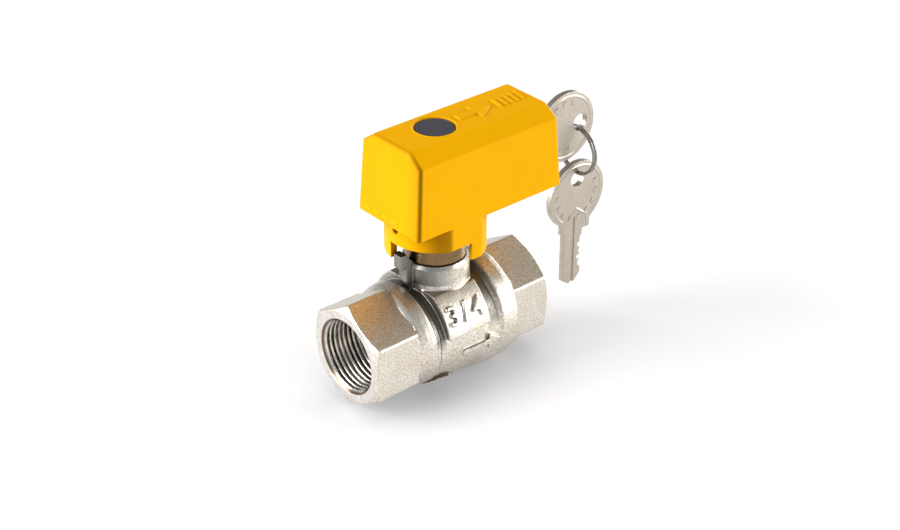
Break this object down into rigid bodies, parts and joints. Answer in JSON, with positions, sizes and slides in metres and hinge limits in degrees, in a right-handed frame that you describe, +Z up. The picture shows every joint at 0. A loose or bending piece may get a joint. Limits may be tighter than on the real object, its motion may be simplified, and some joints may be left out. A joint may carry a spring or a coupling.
{
  "type": "lockable ball valve",
  "caption": "Full-bore threaded ball valve with hexagon ports, a boxy lockable handle on the stem, a lock in the handle's end and two keys on a split ring.",
  "frame": {"origin": "centre of the ball, where the pipe axis meets the stem axis", "axes": "+X along the pipe from the inlet to the outlet, +Z up the stem towards the cap, +Y away from the side with the raised size plate"},
  "size_m": [0.1142, 0.04, 0.0925],
  "materials": {
    "nickel_brass": "satin nickel plate on shot-blasted brass",
    "ball_chrome": "polished",
    "bare_brass": "turned",
    "yellow_paint": "smooth powder coat",
    "grey_plastic": "matte",
    "white_ptfe": "smooth",
    "brown_sealant": "dull",
    "black_rubber": "matte",
    "steel": "zinc plate",
    "lock_nickel": "satin nickel plate",
    "key_nickel": "tumbled nickel plate"
  },
  "bodies": {
    "valve_body": {"body": "nickel_brass", "end_connector": "nickel_brass", "connector_seal": "brown_sealant", "seat_near": "white_ptfe", "seat_far": "white_ptfe", "thrust_washer": "white_ptfe", "gland_packing": "white_ptfe", "locking_ring": "bare_brass"},
    "handle": {"lock_head": "yellow_paint", "stem": "bare_brass", "stem_o_ring_lower": "black_rubber", "stem_o_ring_upper": "black_rubber", "head_washer": "steel", "head_screw": "steel", "top_cap": "grey_plastic", "roll_pin": "steel", "lock_housing": "lock_nickel", "lock_set_screw": "steel"},
    "ball": {"ball": "ball_chrome"},
    "plug": {"lock_plug": "lock_nickel", "plug_clip": "steel"},
    "bolt": {"lock_bolt": "steel"},
    "key_in_lock": {"key_1": "key_nickel"},
    "key_ring": {"split_ring": "steel"},
    "hanging_key": {"key_2": "key_nickel"}
  },
  "joints": [
    {"name": "handle_turn", "type": "hinge", "parent": "valve_body", "child": "handle", "pos_m": [0, 0, 0], "axis": [0, 0, -1], "range_deg": [0, 90]},
    {"name": "ball_turn", "type": "hinge", "parent": "valve_body", "child": "ball", "pos_m": [0, 0, 0], "axis": [0, 0, -1], "range_deg": [0, 90]},
    {"name": "key_turn", "type": "hinge", "parent": "handle", "child": "plug", "pos_m": [0.03, 0, 0.054], "axis": [1, 0, 0], "range_deg": [0, 90]},
    {"name": "bolt_slide", "type": "slide", "parent": "handle", "child": "bolt", "axis": [0, 0, -1], "range_m": [0, 0.00496]},
    {"name": "key_slide", "type": "slide", "parent": "plug", "child": "key_in_lock", "axis": [1, 0, 0], "range_m": [0, 0.0215]},
    {"name": "ring_swing", "type": "hinge", "parent": "key_in_lock", "child": "key_ring", "pos_m": [0.0635, 0, 0.0507], "axis": [0, 1, 0], "range_deg": [-20, 10]},
    {"name": "key_swing", "type": "hinge", "parent": "key_ring", "child": "hanging_key", "pos_m": [0.0635, 0, 0.0331], "axis": [0, 1, 0], "range_deg": [-20, 12]}
  ],
  "couplings": [
    {"joint": "ball_turn", "follows": "handle_turn", "ratio": 1},
    {"joint": "bolt_slide", "follows": "key_turn", "m_per_rad": 0.0031513}
  ]
}
